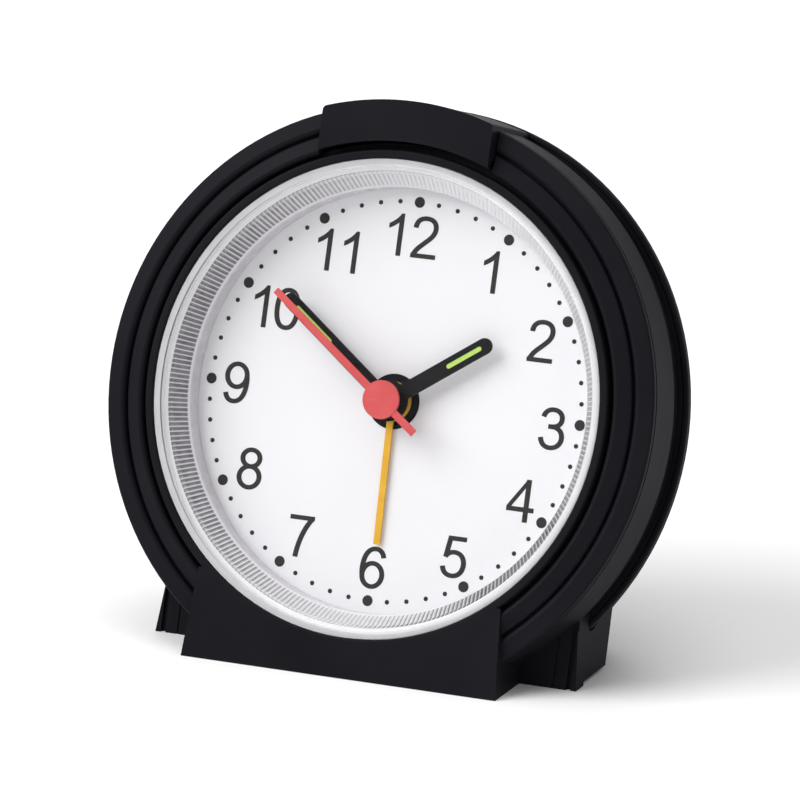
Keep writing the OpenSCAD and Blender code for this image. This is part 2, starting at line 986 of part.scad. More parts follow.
module hour_wheel() {
    color("ivory")
        clock_frame()
            pipe_gear(hour_teeth, hour_m, hour_d, minute_dir, minute_pipe_r + slip, hour_pipe_r, hour_w[1]);
}

module cannon_pinion() {
    color("gold")
        clock_frame()
            pipe_gear(cannon_teeth, minute_m, minute_d, gap_at(cannon_teeth, minute_dir),
                arbor_r + slip, minute_pipe_r, minute_w[1]);
}

module minute_wheel() {
    color("ivory")
        clock_frame() {
            gear(minute_teeth, minute_m, minute_d, minute_dir, minute_at);
            gear(hour_pinion_teeth, hour_m, [hour_d[0], minute_d[0]],
                gap_at(hour_pinion_teeth, minute_dir + 180), minute_at);
            disc([front_plate_d[0] + 0.2, rear_plate_d[1] - 0.2], arbor_r, minute_at);
        }
}

// Face clutch: this wheel drives the cannon pinion by friction, so that the time can be set
module centre_wheel() {
    color("gold")
        clock_frame()
            difference() {
                union() {
                    gear(centre_teeth, centre_m, centre_d, third_dir);
                    disc([minute_d[1] + 0.1, third_d[0] - 0.15], 1.6);
                }
                disc([0, room], arbor_r + slip);
            }
}

module third_wheel() {
    color("ivory")
        clock_frame() {
            gear(third_teeth, third_m, third_d, third_dir + 180, third_at);
            gear(third_pinion_teeth, centre_m, [centre_d[0] - 0.2, third_d[0]],
                gap_at(third_pinion_teeth, third_dir + 180), third_at);
            disc([front_plate_d[0] + 0.2, rear_plate_d[1] - 0.2], arbor_r, third_at);
        }
}

module seconds_wheel() {
    color("ivory")
        clock_frame() {
            gear(seconds_teeth, seconds_m, seconds_d, drive_dir);
            gear(seconds_pinion_teeth, third_m, [third_d[0], third_d[1] + 0.1],
                gap_at(seconds_pinion_teeth, third_dir));
            disc([-arbor_top_w, rear_plate_d[1] - 0.2], arbor_r);
        }
}

module intermediate_wheel() {
    color("ivory")
        clock_frame() {
            gear(drive_teeth, rotor_m, drive_d, rotor_dir, drive_at);
            gear(drive_pinion_teeth, seconds_m, [seconds_d[0], drive_d[0]],
                gap_at(drive_pinion_teeth, drive_dir + 180), drive_at);
            disc([middle_plate_d[0] + 0.1, rear_plate_d[1] - 0.2], arbor_r, drive_at);
        }
}

rotor_arbor_r = 0.4;
rotor_magnet_r = 3.0;
module rotor() {
    color("ivory")
        clock_frame() {
            gear(rotor_teeth, rotor_m, [drive_d[0], magnet_d[0]],
                gap_at(rotor_teeth, rotor_dir + 180), rotor_at);
            disc([middle_plate_d[0] + 0.1, rear_plate_d[1] - 0.2], rotor_arbor_r, rotor_at);
        }
}

module rotor_magnet() {
    color("dimgray")
        clock_frame()
            translate([rotor_at[0], rotor_at[1], 0])
                ring(magnet_d, rotor_arbor_r, rotor_magnet_r);
}

front_plate_r = 38.3;
lamp_r = 1.0;
lamp_head_r = 1.3;
module front_plate() {
    color([0.3, 0.3, 0.32])
        clock_frame() {
            slab(front_plate_d)
                difference() {
                    circle(r = front_plate_r);
                    circle(r = collar_r);
                    for (a = screw_angles)
                        rotate(-a)
                            translate([0, screw_ring]) {
                                circle(r = boss_r + gap);
                                translate([-boss_rib_half - gap, 0])
                                    square([2 * (boss_rib_half + gap), 10]);
                            }
                    translate(lamp_at)
                        circle(r = lamp_r + gap);
                    for (at = [time_at, alarm_at])
                        translate(at)
                            circle(r = stem_pivot_r + slip);
                    for (at = [minute_at, third_at])
                        translate(at)
                            circle(r = arbor_r + slip);
                }
            for (at = posts)
                translate([at[0], at[1], 0])
                    difference() {
                        disc([front_plate_d[1], rear_plate_d[0]], post_r);
                        disc([small_screw_tip_d, rear_plate_d[0] + 1], small_screw_r);
                    }
        }
}

plate_at = [-17, -15.5];
plate_height = 37.5;
middle_plate_width = 20;
rear_plate_width = 33;
module middle_plate() {
    color([0.85, 0.85, 0.83])
        clock_frame()
            slab(middle_plate_d)
                difference() {
                    translate(plate_at)
                        square([middle_plate_width, plate_height]);
                    circle(r = arbor_r + slip);
                    for (at = [minute_at, third_at, drive_at])
                        translate(at)
                            circle(r = arbor_r + slip);
                    translate(rotor_at)
                        circle(r = rotor_arbor_r + slip);
                    for (at = posts)
                        translate(at)
                            circle(r = post_r);
                }
}

module rear_plate() {
    color([0.85, 0.85, 0.83])
        clock_frame()
            slab(rear_plate_d)
                difference() {
                    union() {
                        translate(plate_at)
                            square([rear_plate_width, plate_height]);
                        // Ear that reaches the fifth post
                        translate([-28, 5.5])
                            square([13, 11.5]);
                    }
                    circle(r = arbor_r + slip);
                    for (at = [minute_at, third_at, drive_at])
                        translate(at)
                            circle(r = arbor_r + slip);
                    translate(rotor_at)
                        circle(r = rotor_arbor_r + slip);
                    for (at = [time_at, alarm_at])
                        translate(at)
                            circle(r = stem_r + slip);
                    for (at = posts)
                        translate(at)
                            circle(r = small_screw_r);
                }
}

module stator() {
    color([0.55, 0.56, 0.6])
        clock_frame()
            slab(stator_d)
                difference() {
                    union() {
                        translate(rotor_at)
                            circle(r = 5.5);
                        translate([-15, -14])
                            square([3.5, 18.4]);
                        translate([-24.4, 2.3])
                            square([12.9, 2.2]);
                        translate([-24.4, -15.1])
                            square([12.9, 2.2]);
                    }
                    translate(rotor_at)
                        circle(r = 3.5);
                }
}

module coil_core() {
    color([0.55, 0.56, 0.6])
        clock_frame()
            block([coil_u - 0.9, coil_u + 0.9], [-15.1, 4.5], core_d);
}

module along_coil(v, r) {
    translate([coil_u, v[0], -coil_d])
        rotate([-90, 0, 0])
            cylinder(h = v[1] - v[0], r = r);
}

module coil_bobbin() {
    color([0.9, 0.88, 0.8])
        clock_frame()
            difference() {
                union() {
                    along_coil(coil_v, 1.3);
                    for (v = [coil_v[0], coil_v[1] - 0.6])
                        along_coil([v, v + 0.6], coil_r + 0.3);
                }
                block([coil_u - 0.9, coil_u + 0.9], [-20, 10], core_d);
                block([coil_u - 4, coil_u + 4], [2.2, 10], [0, 14.9]);
            }
}

module coil_winding() {
    color([0.72, 0.4, 0.2])
        clock_frame()
            difference() {
                along_coil([coil_v[0] + 0.6, coil_v[1] - 0.6], coil_r);
                along_coil([coil_v[0], coil_v[1]], 1.3);
            }
}

module circuit_board() {
    color([0.2, 0.45, 0.25])
        clock_frame()
            slab(board_d)
                difference() {
                    translate([-16, 14])
                        square([32, 20]);
                    for (u = [-13.5, 13.5])
                        translate([u, 31.5])
                            circle(r = 1.1);
                }
}

module control_chip() {
    color([0.08, 0.08, 0.08])
        clock_frame() {
            block([7, 12], [17, 22], [board_d[1], board_d[1] + 1.2]);
            for (i = [0:4])
                for (u = [6.2, 12])
                    block([u, u + 0.8], [17.3 + i, 17.7 + i], [board_d[1], board_d[1] + 0.5]);
        }
}

module quartz_crystal() {
    color("silver")
        clock_frame()
            translate([-12, 17, -board_d[1] - 1])
                rotate([-90, 0, 0])
                    cylinder(h = 6, r = 1);
}

module buzzer() {
    color([0.1, 0.1, 0.1])
        clock_frame()
            difference() {
                disc([18.2, back_w - wall], 8.6, buzzer_at);
                disc([21.2, back_w], 1.4, buzzer_at);
            }
}

module lamp() {
    color([0.95, 0.95, 0.9])
        clock_frame() {
            disc([0.3, 3.4], lamp_r, lamp_at);
            disc([3.4, 4.2], lamp_head_r, lamp_at);
        }
}

// Leaf that touches the alarm cam when the hour comes round
module alarm_contact() {
    color([0.8, 0.65, 0.3])
        clock_frame() {
            block([6, 11], [-12.2, -11.9], [front_plate_d[1], 7]);
            block([6, 7.2], [-12.2, -10.6], [4.2, 4.4]);
        }
}

// ---------- battery ----------

module along_u(u, r) {
    translate([u[0], cell_v, -cell_d])
        rotate([0, 90, 0])
            cylinder(h = u[1] - u[0], r = r);
}

nub_len = 1.3;
module battery_cell() {
    color([0.3, 0.3, 0.33])
        clock_frame() {
            along_u([-cell_len / 2, cell_len / 2 - nub_len], cell_r);
            along_u([cell_len / 2 - nub_len, cell_len / 2], 2.7);
        }
}

contact_thick = 0.4;
module battery_contact_plus() {
    color("silver")
        clock_frame() {
            block([box_inner - contact_thick, box_inner], [cell_v - 5, cell_v + 5], [cell_d - 5, cell_d + 5]);
            along_u([cell_len / 2, box_inner - contact_thick], 2.2);
        }
}

// Wire spring of the negative contact, wound as a cone
wire_r = 0.35;
wire_sides = 6;
turn_steps = 20;
spring_turns = 3;
spring_rings = spring_turns * turn_steps;
spring_span = box_inner - contact_thick - cell_len / 2 - 2 * wire_r + 0.1;
function spring_point(i, k) =
    let (t = i / spring_rings, a = 360 * i / turn_steps, radius = 4.6 - 2 * t)
    let (out = radius + wire_r * cos(360 * k / wire_sides))
    [
        -box_inner + contact_thick + wire_r - 0.1 + spring_span * t + wire_r * sin(360 * k / wire_sides),
        cell_v + out * cos(a),
        -cell_d + out * sin(a)
    ];

module battery_contact_minus() {
    color("silver")
        clock_frame() {
            block([-box_inner, -box_inner + contact_thick], [cell_v - 5.5, cell_v + 5.5],
                [cell_d - 5.5, cell_d + 5.5]);
            polyhedron(
                points = [for (i = [0:spring_rings]) for (k = [0:wire_sides - 1]) spring_point(i, k)],
                faces = concat(
                    [[for (k = [wire_sides - 1:-1:0]) k]],
                    [for (i = [0:spring_rings - 1]) for (k = [0:wire_sides - 1])
                        let (n = (k + 1) % wire_sides, a = i * wire_sides, b = a + wire_sides)
                        [a + k, a + n, b + n, b + k]],
                    [[for (k = [0:wire_sides - 1]) spring_rings * wire_sides + k]]
                )
            );
        }
}

front_case();
light_ring();
lens();
dial();
centre_collar();
rear_case();
battery_door();
snooze_button();
snooze_switch();
time_knob();
alarm_knob();
alarm_slider();
slide_switch();
case_screws();
movement_screws();
hour_hand();
minute_hand();
second_hand();
alarm_hand();
hour_lume();
minute_lume();
front_plate();
middle_plate();
rear_plate();
alarm_wheel();
hour_wheel();
cannon_pinion();
minute_wheel();
centre_wheel();
third_wheel();
seconds_wheel();
intermediate_wheel();
rotor();
rotor_magnet();
time_stem();
alarm_stem();
stator();
coil_core();
coil_bobbin();
coil_winding();
circuit_board();
control_chip();
quartz_crystal();
buzzer();
lamp();
alarm_contact();
battery_cell();
battery_contact_plus();
battery_contact_minus();
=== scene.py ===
"""Looks of a small black alarm clock with a white dial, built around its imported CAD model.

Dial coordinates are millimetres: u to the right, v up the leaning dial, w out of its face.
"""

import json
import math

import bpy
from mathutils import Matrix, Vector
from mathutils.geometry import delaunay_2d_cdt


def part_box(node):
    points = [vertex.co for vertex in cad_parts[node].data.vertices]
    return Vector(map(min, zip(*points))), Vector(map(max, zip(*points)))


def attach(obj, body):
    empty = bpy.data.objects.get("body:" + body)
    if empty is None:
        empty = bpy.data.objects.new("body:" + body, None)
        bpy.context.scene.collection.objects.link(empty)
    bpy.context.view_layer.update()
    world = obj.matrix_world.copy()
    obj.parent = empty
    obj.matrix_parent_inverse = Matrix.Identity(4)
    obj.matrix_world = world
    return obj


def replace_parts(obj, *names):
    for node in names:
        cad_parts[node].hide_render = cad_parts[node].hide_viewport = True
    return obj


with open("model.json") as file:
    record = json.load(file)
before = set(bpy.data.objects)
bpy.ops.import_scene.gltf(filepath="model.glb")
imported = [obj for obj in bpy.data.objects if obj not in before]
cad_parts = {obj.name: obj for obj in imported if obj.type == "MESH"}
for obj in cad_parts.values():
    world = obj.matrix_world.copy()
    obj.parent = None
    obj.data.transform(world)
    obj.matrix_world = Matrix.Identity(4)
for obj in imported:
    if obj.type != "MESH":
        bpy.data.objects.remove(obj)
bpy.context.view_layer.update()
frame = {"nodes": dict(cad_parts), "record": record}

MM = 0.001
# The dial leans back by LEAN and is DIAL_THICK thick, as in the CAD
LEAN = math.radians(16.5)
DIAL_THICK = 0.6

# ---------------------------------------------------------------- dial coordinates

dial_low, dial_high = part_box("dial")
face_up = Vector((0, math.sin(LEAN), math.cos(LEAN)))
face_out = Vector((0, -math.cos(LEAN), math.sin(LEAN)))
dial_centre = (dial_low + dial_high) / 2 + face_out * (DIAL_THICK * MM / 2)
DIAL = Matrix(
    (
        (MM, 0, 0, dial_centre.x),
        (0, face_up.y * MM, face_out.y * MM, dial_centre.y),
        (0, face_up.z * MM, face_out.z * MM, dial_centre.z),
        (0, 0, 0, 1),
    )
)


def polar(r, angle):
    """(u, v) at radius r and clockwise angle in degrees from the top of the dial."""
    a = math.radians(angle)
    return r * math.sin(a), r * math.cos(a)


# ---------------------------------------------------------------- meshes


def add_piece(name, points, faces, body, slot):
    """A mesh in dial coordinates, as an object that rides on body."""
    mesh = bpy.data.meshes.new(name)
    mesh.from_pydata([DIAL @ Vector(p) for p in points], [], faces)
    mesh.validate()
    mesh.update()
    piece = bpy.data.objects.new(name, mesh)
    bpy.context.scene.collection.objects.link(piece)
    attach(piece, body)
    return piece


def turned(profile, steps, radius):
    """Points and faces of a closed (r, w) profile turned about the dial's axis.

    radius(r, w, step) is where a profile point goes at one of the steps round the turn.
    """
    points = []
    for step in range(steps):
        for r, w in profile:
            u, v = polar(radius(r, w, step), 360 * step / steps)
            points.append((u, v, w))
    n = len(profile)
    faces = []
    for step in range(steps):
        here = step * n
        there = (step + 1) % steps * n
        for k in range(n):
            m = (k + 1) % n
            faces.append((here + k, here + m, there + m, there + k))
    return points, faces


def merged(parts):
    """Points and faces of several meshes, as one."""
    points, faces = [], []
    for part_points, part_faces in parts:
        faces += [tuple(i + len(points) for i in face) for face in part_faces]
        points += part_points
    return points, faces


# The mode of delaunay_2d_cdt that leaves out what lies round the polygons
INSIDE_ONLY = 1
WELD = 1e-5


def united(polygons):
    """Points and triangles of the flat union of polygons that may overlap."""
    points, faces = [], []
    for polygon in polygons:
        start = len(points)
        points += [Vector(p) for p in polygon]
        faces.append(list(range(start, len(points))))
    points, _, triangles, _, _, sources = delaunay_2d_cdt(points, [], faces, INSIDE_ONLY, WELD)
    # A hole inside a stroke, as in a 0, has triangles too, but no source polygon
    return points, [triangle for triangle, source in zip(triangles, sources) if source]


def slab(polygons, low, high):
    """Points and faces of the union of polygons as a closed slab from w = low to high."""
    flat, triangles = united(polygons)
    n = len(flat)
    points = [(p.x, p.y, high) for p in flat] + [(p.x, p.y, low) for p in flat]
    edges = set()
    faces = []
    for triangle in triangles:
        a, b, c = triangle
        if (flat[b] - flat[a]).cross(flat[c] - flat[a]) < 0:
            b, c = c, b
        faces += [(a, b, c), (c + n, b + n, a + n)]
        edges |= {(a, b), (b, c), (c, a)}
    for a, b in edges:
        if (b, a) not in edges:
            faces.append((b, a, a + n, b + n))
    return points, faces


# ---------------------------------------------------------------- printed numerals

# Height of a digit, half the width of its upright and level strokes, and its usual width
CAP = 6.6
STEM_HALF = 0.42
BAR_HALF = 0.36
DIGIT_WIDTH = 4.3
CURVE_STEPS = 14
OVAL_STEPS = 44


def bezier(a, b, c, d):
    """Points along a cubic curve, without its first."""
    points = []
    for i in range(1, CURVE_STEPS + 1):
        t = i / CURVE_STEPS
        s = 1 - t
        weights = (s**3, 3 * s * s * t, 3 * s * t * t, t**3)
        points.append(
            tuple(sum(k * p[axis] for k, p in zip(weights, (a, b, c, d))) for axis in (0, 1))
        )
    return points


def path(start, *legs):
    """Points along a pen stroke. A leg is one point for a line or three for a curve."""
    points = [start]
    for leg in legs:
        points += [leg[0]] if len(leg) == 1 else bezier(points[-1], *leg)
    return points


def loop(x, y, rx, ry, power=2.0, steps=OVAL_STEPS):
    """Points round a closed oval; a power above 2 straightens its sides."""
    points = []
    for i in range(steps + 1):
        a = 2 * math.pi * i / steps
        c, s = math.cos(a), math.sin(a)
        points.append(
            (
                x + rx * math.copysign(abs(c) ** (2 / power), c),
                y + ry * math.copysign(abs(s) ** (2 / power), s),
            )
        )
    return points


def ribbon(points):
    """Quads of a pen stroke along points, wider in its upright runs than in its level ones."""
    closed = math.dist(points[0], points[-1]) < 1e-6
    sides = []
    last = len(points) - 1
    for i, (x, y) in enumerate(points):
        before = points[i - 1] if i else (points[last - 1] if closed else points[0])
        after = points[i + 1] if i < last else (points[1] if closed else points[last])
        dx, dy = after[0] - before[0], after[1] - before[1]
        length = math.hypot(dx, dy)
        dx, dy = dx / length, dy / length
        half = math.hypot(STEM_HALF * dy, BAR_HALF * dx)
        sides.append(((x - dy * half, y + dx * half), (x + dy * half, y - dx * half)))
    return [[a, b, d, c] for (a, b), (c, d) in zip(sides, sides[1:])]


# Each digit's strokes are in millimetres from its lower left corner


def digit_one():
    under = path((1.61, 5.14), ((1.15, 4.75), (0.6, 4.38), (0, 4.15)))
    over = path((0, 4.93), ((0.75, 5.3), (1.5, 5.95), (1.9, CAP)))
    return [[(2.42, 0), (2.42, CAP)] + over[::-1] + under[::-1] + [(1.61, 0)]]


def digit_two():
    sweep = path(
        (0.46, 4.66),
        ((0.5, 5.75), (1.2, 6.23), (2.17, 6.23)),
        ((3.2, 6.23), (3.82, 5.65), (3.82, 4.8)),
        ((3.82, 3.7), (2.95, 3.1), (2.05, 2.3)),
        ((1.3, 1.65), (0.75, 1.2), (0.56, 0.4)),
    )
    return ribbon(sweep) + ribbon([(0.06, 0.38), (4.27, 0.38)])


def digit_three():
    upper = path(
        (0.52, 5.0),
        ((0.7, 5.8), (1.25, 6.23), (2.05, 6.23)),
        ((2.95, 6.23), (3.58, 5.7), (3.58, 4.92)),
        ((3.58, 4.1), (2.95, 3.62), (2.0, 3.62)),
    )
    lower = path(
        (1.45, 3.6),
        ((2.1, 3.6),),
        ((3.15, 3.6), (3.85, 2.95), (3.85, 2.0)),
        ((3.85, 1.05), (3.1, 0.37), (2.1, 0.37)),
        ((1.15, 0.37), (0.55, 0.95), (0.42, 1.85)),
    )
    return ribbon(upper) + ribbon(lower)


def digit_four():
    stem = [(2.83, 0), (3.67, 0), (3.67, CAP), (2.83, CAP)]
    bar = [(0, 1.57), (4.55, 1.57), (4.55, 2.31), (0, 2.31)]
    slope = [(0, 2.31), (0.8, 2.31), (3.25, 5.86), (3.25, CAP), (3.0, CAP)]
    return [stem, bar, slope]


def digit_five():
    top = ribbon([(1.05, 6.13), (3.95, 6.13)])
    side = ribbon([(1.32, 6.45), (0.78, 3.15)])
    bowl = path(
        (0.72, 3.25),
        ((1.1, 3.8), (1.6, 4.02), (2.2, 4.02)),
        ((3.2, 4.02), (3.87, 3.3), (3.87, 2.25)),
        ((3.87, 1.1), (3.15, 0.37), (2.12, 0.37)),
        ((1.2, 0.37), (0.6, 0.85), (0.45, 1.75)),
    )
    return top + side + ribbon(bowl)


def digit_six():
    back = path(
        (3.82, 4.95),
        ((3.65, 5.8), (3.1, 6.23), (2.4, 6.23)),
        ((1.15, 6.23), (0.45, 5.0), (0.45, 2.95)),
        ((0.45, 2.6), (0.48, 2.4), (0.55, 2.1)),
    )
    return ribbon(loop(2.2, 2.17, 1.66, 1.8)) + ribbon(back)


def digit_seven():
    stem = path((3.85, 6.1), ((2.9, 4.9), (1.95, 2.9), (1.68, 0)))
    return ribbon([(0.1, 6.13), (4.25, 6.13)]) + ribbon(stem)


def digit_eight():
    return ribbon(loop(2.15, 4.93, 1.45, 1.3)) + ribbon(loop(2.15, 2.0, 1.7, 1.63))


def digit_nine():
    return [[(DIGIT_WIDTH - x, CAP - y) for x, y in quad] for quad in digit_six()]


def digit_zero():
    return ribbon(loop(2.15, CAP / 2, 1.72, CAP / 2 - BAR_HALF, power=2.3, steps=56))


DIGITS = {
    "0": (digit_zero, DIGIT_WIDTH),
    "1": (digit_one, 2.42),
    "2": (digit_two, DIGIT_WIDTH),
    "3": (digit_three, DIGIT_WIDTH),
    "4": (digit_four, 4.55),
    "5": (digit_five, DIGIT_WIDTH),
    "6": (digit_six, DIGIT_WIDTH),
    "7": (digit_seven, DIGIT_WIDTH),
    "8": (digit_eight, DIGIT_WIDTH),
    "9": (digit_nine, DIGIT_WIDTH),
}
# Space between the two digits of a numeral
PAIR_GAPS = {"10": 1.15, "11": 2.0, "12": 1.6}
NUMERAL_CENTRES = {
    12: (-0.4, 25.7),
    1: (13.1, 21.65),
    2: (23.0, 12.05),
    3: (26.6, -1.05),
    4: (23.05, -12.55),
    5: (13.3, -22.5),
    6: (0.1, -25.85),
    7: (-12.6, -22.5),
    8: (-22.5, -13.2),
    9: (-26.65, -0.2),
    10: (-21.55, 12.15),
    11: (-12.7, 22.1),
}
# Back and front of the ink, which starts just inside the dial
PRINT_W = (-0.01, 0.03)
DOT_RING_R = 31.0
HOUR_DOT_R = 0.85
MINUTE_DOT_R = 0.36
DOT_STEPS = 40


def numeral(number):
    """Polygons of an hour's numeral, upright about its centre."""
    text = str(number)
    gap = PAIR_GAPS.get(text, 0)
    width = sum(DIGITS[c][1] for c in text) + gap
    centre_u, centre_v = NUMERAL_CENTRES[number]
    left, foot = centre_u - width / 2, centre_v - CAP / 2
    polygons = []
    for c in text:
        draw, digit_width = DIGITS[c]
        polygons += [[(left + x, foot + y) for x, y in polygon] for polygon in draw()]
        left += digit_width + gap
    return polygons


def dot(minute):
    """A minute's dot as a polygon, larger at the hours."""
    r = HOUR_DOT_R if minute % 5 == 0 else MINUTE_DOT_R
    u, v = polar(DOT_RING_R, 6 * minute)
    turns = [2 * math.pi * i / DOT_STEPS for i in range(DOT_STEPS)]
    return [(u + r * math.cos(a), v + r * math.sin(a)) for a in turns]


def make_print():
    """The numerals and the dots, as two thin pieces on the dial."""
    numerals = merged(slab(numeral(hour), *PRINT_W) for hour in range(1, 13))
    dots = merged(slab([dot(minute)], *PRINT_W) for minute in range(60))
    return [
        add_piece("dial_numerals", *numerals, "case", "control_black"),
        add_piece("dial_dots", *dots, "case", "control_black"),
    ]


# ---------------------------------------------------------------- ribbed ring

RIBS = 288
# One groove's depth at its steps round the ring, as a share of the full depth
RIB_SHAPE = (0, 0.8, 1, 0.8)
RIB_DEPTH = 0.12
# The ring's outline as (r, w): inner wall, cone, flange in front, and foot on the dial
RING_WALL = [(32.9, 0.05), (32.9, 2.85), (33.05, 3.2)]
RING_CONE = [(33.2, 3.5), (33.7, 4.25), (34.2, 5.0), (34.7, 5.72), (35.1, 6.32)]
RING_FLANGE = [(35.3, 6.46), (35.9, 6.49), (36.1, 6.85), (36.12, 0.1)]
RING_FOOT = [(34.2, 0.1), (34.2, 0.05)]
# How much of the full depth the ribs have at each point of the cone
CONE_DEPTHS = (0.75, 1, 1, 1, 0.4)


def make_ribbed_ring():
    """The clear ring round the dial: fine prisms on its cone and a plain flange in front."""
    depths = dict(zip(RING_CONE, CONE_DEPTHS))

    def radius(r, w, step):
        depth = depths.get((r, w), 0) * RIB_DEPTH
        return r + depth * RIB_SHAPE[step % len(RIB_SHAPE)]

    profile = RING_WALL + RING_CONE + RING_FLANGE + RING_FOOT
    points, faces = turned(profile, RIBS * len(RIB_SHAPE), radius)
    ring = add_piece("ribbed_ring", points, faces, "case", "ribbed_grey")
    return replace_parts(ring, "light_ring")


# ---------------------------------------------------------------- materials

ACROSS = Vector((1, 0, 0))
# Where the look of the ring and of the lens changes, as the radii between which it does
LEDGE_R = (32.95, 33.05)
RIBS_R = (33.2, 33.3)
FLANGE_R = (35.2, 35.28)
FROST_R = (35.7, 35.95)
# The lens reflects this much straight on, this much more edge on, and is this frosted at its rim
SHINE = 0.009
EDGE_SHINE = 0.9
FROSTING = 0.8
# The sides of a ridge's edge, as shares of a rib's width from the middle of the ridge, whose lighter
# colour is a painted highlight
RIDGE_EDGE = (0.06, 0.17)
# How edge on the grooves are seen where their painted reflection fades from grey to white, and where
# the painted dark dashes start
PAINTED_REFLECTION_FACING = (0.2, 0.43)
PAINTED_DASHES_FACING = (0.46, 0.62)
# The painted dark dashes, painted reflections, are low on the right: this far from the dial's middle,
# along this direction
PAINTED_DASHES_TOWARDS = 0.75 * ACROSS - 0.66 * face_up
PAINTED_DASHES_FROM = (-10, 36)
# Edges on the cell, each as its two sides: the copper collar starts at a share of the length,
# and the steel cap starts at a distance from the plus end
COLLAR_SHARE = (0.72, 0.725)
CELL_CAP = (1.2, 1.1)


def rgb(r, g, b):
    return (r, g, b, 1.0)


class Look:
    """A node material being put together around one Principled shader."""

    def __init__(self, name, **values):
        self.name = name
        self.material = bpy.data.materials.new(name)
        self.material.use_nodes = True
        self.tree = self.material.node_tree
        self.shader = self.tree.nodes["Principled BSDF"]
        for socket, value in values.items():
            self.shader.inputs[socket.replace("_", " ")].default_value = value
        self.normal = None

    def node(self, kind, **inputs):
        """A new node, with a value or another node's socket for each input that is named."""
        made = self.tree.nodes.new(kind)
        for socket, value in inputs.items():
            self.feed(made.inputs[socket.replace("_", " ")], value)
        return made

    def feed(self, socket, value):
        """Links a socket to another node's socket, or sets its value."""
        if isinstance(value, bpy.types.NodeSocket):
            self.tree.links.new(value, socket)
        else:
            socket.default_value = value

    def place(self):
        """The point in the scene, since every piece's object sits at the origin."""
        return self.node("ShaderNodeTexCoord").outputs["Object"]

    def facing(self):
        """0 where a face is seen straight on, 1 where it is seen edge on."""
        return self.node("ShaderNodeLayerWeight", Blend=0.5).outputs["Facing"]

    def noise(self, scale, detail=3.0, stretch=(1, 1, 1)):
        """Noise with this many cells to a metre. A stretch below 1 draws it out along an axis."""
        where = self.node("ShaderNodeMapping", Vector=self.place(), Scale=stretch).outputs[0]
        made = self.node("ShaderNodeTexNoise", Vector=where, Scale=scale, Detail=detail, Roughness=0.55)
        return made.outputs["Fac"]

    def bands(self, scale, distortion, direction):
        """Soft bands across one direction."""
        made = self.node("ShaderNodeTexWave", Vector=self.place(), Scale=scale, Distortion=distortion)
        made.bands_direction = direction
        return made.outputs["Fac"]

    def span(self, value, low, high, start=0.3, end=0.7):
        """value from start to end, mapped to low to high. Noise keeps to about 0.3 to 0.7."""
        ends = {"From_Min": start, "From_Max": end, "To_Min": low, "To_Max": high}
        return self.node("ShaderNodeMapRange", Value=value, **ends).outputs["Result"]

    def step(self, distance, edge):
        """0 before an edge and 1 after it, where edge is its two sides in millimetres."""
        return self.span(distance, 0, 1, edge[0] * MM, edge[1] * MM)

    def mix(self, factor, a, b):
        """A colour that goes from a to b."""
        made = self.node("ShaderNodeMix", Factor=factor)
        made.data_type = "RGBA"
        first, second, result = made.inputs[6], made.inputs[7], made.outputs[2]
        self.feed(first, a)
        self.feed(second, b)
        return result

    def between(self, noise, dark, light):
        """A colour that changes from dark to light with a noise."""
        return self.mix(self.span(noise, 0, 1), rgb(*dark), rgb(*light))

    def math(self, operation, a, b=0.0):
        made = self.node("ShaderNodeMath")
        made.operation = operation
        self.feed(made.inputs[0], a)
        self.feed(made.inputs[1], b)
        return made.outputs[0]

    def vector_math(self, operation, a, b):
        made = self.node("ShaderNodeVectorMath")
        made.operation = operation
        self.feed(made.inputs[0], a)
        self.feed(made.inputs[1], b)
        return made

    def along(self, axis):
        """Distance from the middle of the dial's face along an axis."""
        offset = self.vector_math("SUBTRACT", self.place(), dial_centre).outputs["Vector"]
        return self.vector_math("DOT_PRODUCT", offset, axis).outputs["Value"]

    def radius(self):
        """Distance from the dial's axis."""
        squares = [self.math("POWER", self.along(axis), 2.0) for axis in (ACROSS, face_up)]
        return self.math("SQRT", self.math("ADD", *squares))

    def colour(self, value):
        self.feed(self.shader.inputs["Base Color"], value)

    def rough(self, value):
        self.feed(self.shader.inputs["Roughness"], value)

    def bump(self, height, depth):
        """Adds a bump to the ones before it. depth is in millimetres."""
        made = self.node("ShaderNodeBump", Height=height, Strength=1.0, Distance=depth * MM)
        if self.normal:
            self.feed(made.inputs["Normal"], self.normal)
        self.normal = made.outputs["Normal"]
        self.feed(self.shader.inputs["Normal"], self.normal)

    def blend(self, factor, a, b):
        """A shader that goes from a to b."""
        made = self.node("ShaderNodeMixShader", Fac=factor)
        self.feed(made.inputs[1], a.outputs[0])
        self.feed(made.inputs[2], b.outputs[0])
        return made


def moulded(name, dark, light, rough, grain=2600, depth=0.008, **values):
    """Moulded plastic: a spark-eroded grain, and a slow change of colour and gloss."""
    look = Look(name, **values)
    slow = look.noise(45, 4)
    fine = look.noise(grain, 2)
    look.colour(look.between(slow, dark, light))
    patchy = look.math("ADD", look.math("MULTIPLY", slow, 0.6), look.math("MULTIPLY", fine, 0.4))
    look.rough(look.span(patchy, *rough))
    look.bump(fine, depth)
    return look


def painted(name, dark, light, rough, **values):
    """Lacquer on thin metal: a faint ripple and fine dust."""
    look = Look(name, **values)
    ripple = look.noise(420, 2)
    dust = look.noise(5200, 2)
    look.colour(look.between(ripple, dark, light))
    look.rough(look.span(dust, *rough))
    look.bump(ripple, 0.01)
    look.bump(dust, 0.002)
    return look


def metal(name, dark, light, rough, stretch=(1, 1, 1), **values):
    """Bare metal with fine machining marks along one direction and slow tarnish."""
    look = Look(name, Metallic=1.0, **values)
    tarnish = look.noise(140, 4)
    marks = look.noise(2200, 2, stretch)
    look.colour(look.between(tarnish, dark, light))
    look.rough(look.span(marks, *rough))
    look.bump(marks, 0.004)
    return look


